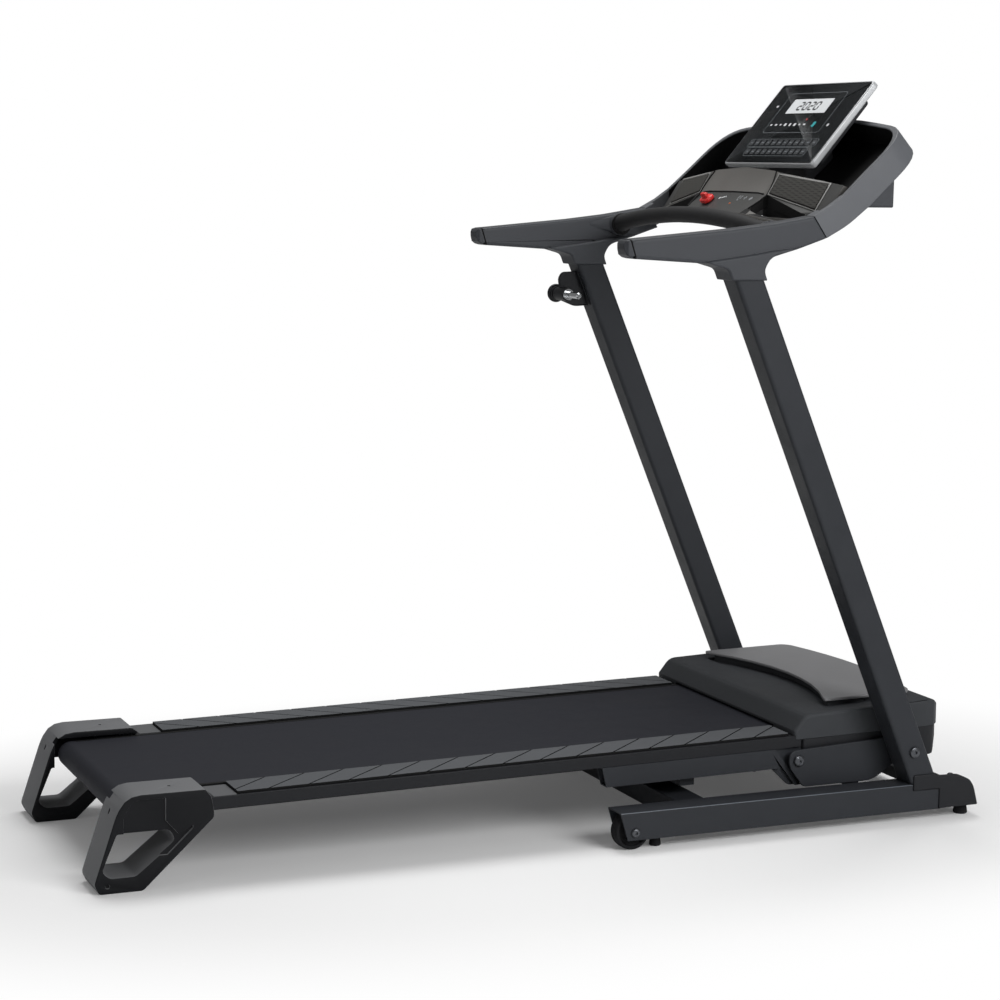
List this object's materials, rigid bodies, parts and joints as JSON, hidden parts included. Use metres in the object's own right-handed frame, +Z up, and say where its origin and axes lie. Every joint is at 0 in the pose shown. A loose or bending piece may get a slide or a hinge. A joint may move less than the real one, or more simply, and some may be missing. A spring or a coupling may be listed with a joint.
{
  "type": "folding motorised treadmill",
  "caption": "Folding treadmill with a power incline deck, leaning uprights, scooped console with a tilted display, grip bar, handles and looped rear feet.",
  "frame": {"origin": "on the floor, under the middle of the machine's overall length and width", "axes": "+X forward towards the console, +Y to the runner's left, +Z up"},
  "size_m": [1.7259, 0.742, 1.4101],
  "materials": {
    "powder_coat": "charcoal powder coat, fine texture, semi-matt",
    "black_plastic": "moulded ABS, fine grain",
    "grey_plastic": "painted cool grey, satin",
    "deck_plastic": "painted warm grey, satin",
    "grille": "fine perforated, matt",
    "satin_plate": "satin grey lacquer",
    "rubber": "matt moulded rubber",
    "foot_pad": "textured mid grey",
    "belt": "dark slate, woven-grain surface",
    "board": "waxed fibreboard",
    "steel": "zinc plated",
    "chrome": "polished",
    "motor": "black enamel",
    "film": "satin overlay film",
    "bezel": "silver lacquer",
    "red": "moulded red"
  },
  "bodies": {
    "base": {"base_rail_right": "powder_coat", "base_rail_left": "powder_coat", "base_rear_crossbar": "powder_coat", "base_front_crossbar": "powder_coat", "base_end_cap_right": "black_plastic", "base_end_cap_left": "black_plastic", "front_foot_right": "rubber", "front_foot_left": "rubber", "rear_pad_right": "rubber", "rear_pad_left": "rubber", "wheel_axle_right": "steel", "wheel_axle_left": "steel", "upright_right": "powder_coat", "upright_left": "powder_coat", "handle_right": "grey_plastic", "handle_left": "grey_plastic", "handle_end_cap_right": "grey_plastic", "handle_end_cap_left": "grey_plastic", "grip_bar": "rubber", "console_tray": "grey_plastic", "console_beam": "grey_plastic", "console_deck": "deck_plastic", "speaker_grille_right": "grille", "speaker_grille_left": "grille", "display_housing": "bezel", "display_face": "film", "latch_bracket": "black_plastic"},
    "wheel_right": {"transport_wheel_right": "rubber"},
    "wheel_left": {"transport_wheel_left": "rubber"},
    "latch": {"latch_plunger": "chrome"},
    "key": {"safety_key": "red"},
    "fold_pivot": {"pivot_bolt_right": "steel", "pivot_bolt_left": "steel"},
    "lift_frame": {"lift_arm_right": "powder_coat", "lift_arm_left": "powder_coat", "lift_cross_tube": "powder_coat", "nose_bolt_right": "steel", "nose_bolt_left": "steel"},
    "deck": {"side_rail_right": "powder_coat", "side_rail_left": "powder_coat", "foot_pad_right": "foot_pad", "foot_pad_left": "foot_pad", "rear_foot_right": "black_plastic", "rear_foot_left": "black_plastic", "deck_frame": "powder_coat", "rear_cross_member": "powder_coat", "deck_board": "board", "running_belt": "belt", "motor_hood": "black_plastic", "hood_plate": "satin_plate", "belly_pan": "black_plastic", "power_inlet": "black_plastic", "drive_motor": "motor", "drive_belt": "rubber"},
    "idle_roller": {"rear_roller": "steel"},
    "drive_roller_body": {"drive_roller": "steel"},
    "rotor": {"flywheel": "steel"},
    "actuator": {"incline_motor": "motor"},
    "actuator_rod": {"incline_rod": "steel"}
  },
  "joints": [
    {"name": "fold", "type": "hinge", "parent": "base", "child": "fold_pivot", "pos_m": [0.71496, 0, 0.137], "axis": [0, 1, 0], "range_deg": [0, 61.84]},
    {"name": "incline", "type": "hinge", "parent": "fold_pivot", "child": "lift_frame", "pos_m": [0.71496, 0, 0.137], "axis": [0, 1, 0], "range_deg": [0, 36]},
    {"name": "deck_level", "type": "hinge", "parent": "lift_frame", "child": "deck", "pos_m": [0.499, 0, 0.123], "axis": [0, 1, 0], "range_deg": [-41.57, 0]},
    {"name": "actuator_tilt", "type": "hinge", "parent": "deck", "child": "actuator", "pos_m": [0.33, 0, 0.09], "axis": [0, 1, 0], "range_deg": [0, 13.71]},
    {"name": "actuator_stroke", "type": "slide", "parent": "actuator", "child": "actuator_rod", "axis": [0.9997, 0, -0.0231], "range_m": [-0.04156, 0]},
    {"name": "drive_roller_spin", "type": "hinge", "parent": "deck", "child": "drive_roller_body", "pos_m": [0.55804, 0, 0.14674], "axis": [0, 1, 0], "continuous": true},
    {"name": "rear_roller_spin", "type": "hinge", "parent": "deck", "child": "idle_roller", "pos_m": [-0.78682, 0, 0.12749], "axis": [0, 1, 0], "continuous": true},
    {"name": "rotor_spin", "type": "hinge", "parent": "deck", "child": "rotor", "pos_m": [0.68783, 0, 0.16259], "axis": [0, 1, 0], "continuous": true},
    {"name": "wheel_right_spin", "type": "hinge", "parent": "base", "child": "wheel_right", "pos_m": [0.123, -0.3425, 0.035], "axis": [0, 1, 0], "continuous": true},
    {"name": "wheel_left_spin", "type": "hinge", "parent": "base", "child": "wheel_left", "pos_m": [0.123, 0.3425, 0.035], "axis": [0, 1, 0], "continuous": true},
    {"name": "latch_pull", "type": "slide", "parent": "base", "child": "latch", "axis": [0, 1, 0], "range_m": [0, 0.012], "stiffness_N_per_m": 400, "springref_m": -0.006},
    {"name": "key_pull", "type": "slide", "parent": "base", "child": "key", "axis": [-0.6186, 0, 0.7857], "range_m": [0, 0.015]}
  ],
  "couplings": [
    {"joint": "deck_level", "follows": "incline", "ratio": -1.1534},
    {"joint": "actuator_tilt", "follows": "incline", "ratio": 0.3793},
    {"joint": "actuator_stroke", "follows": "incline", "m_per_rad": -0.06583},
    {"joint": "rear_roller_spin", "follows": "drive_roller_spin", "ratio": 1},
    {"joint": "rotor_spin", "follows": "drive_roller_spin", "ratio": 2.1875}
  ]
}
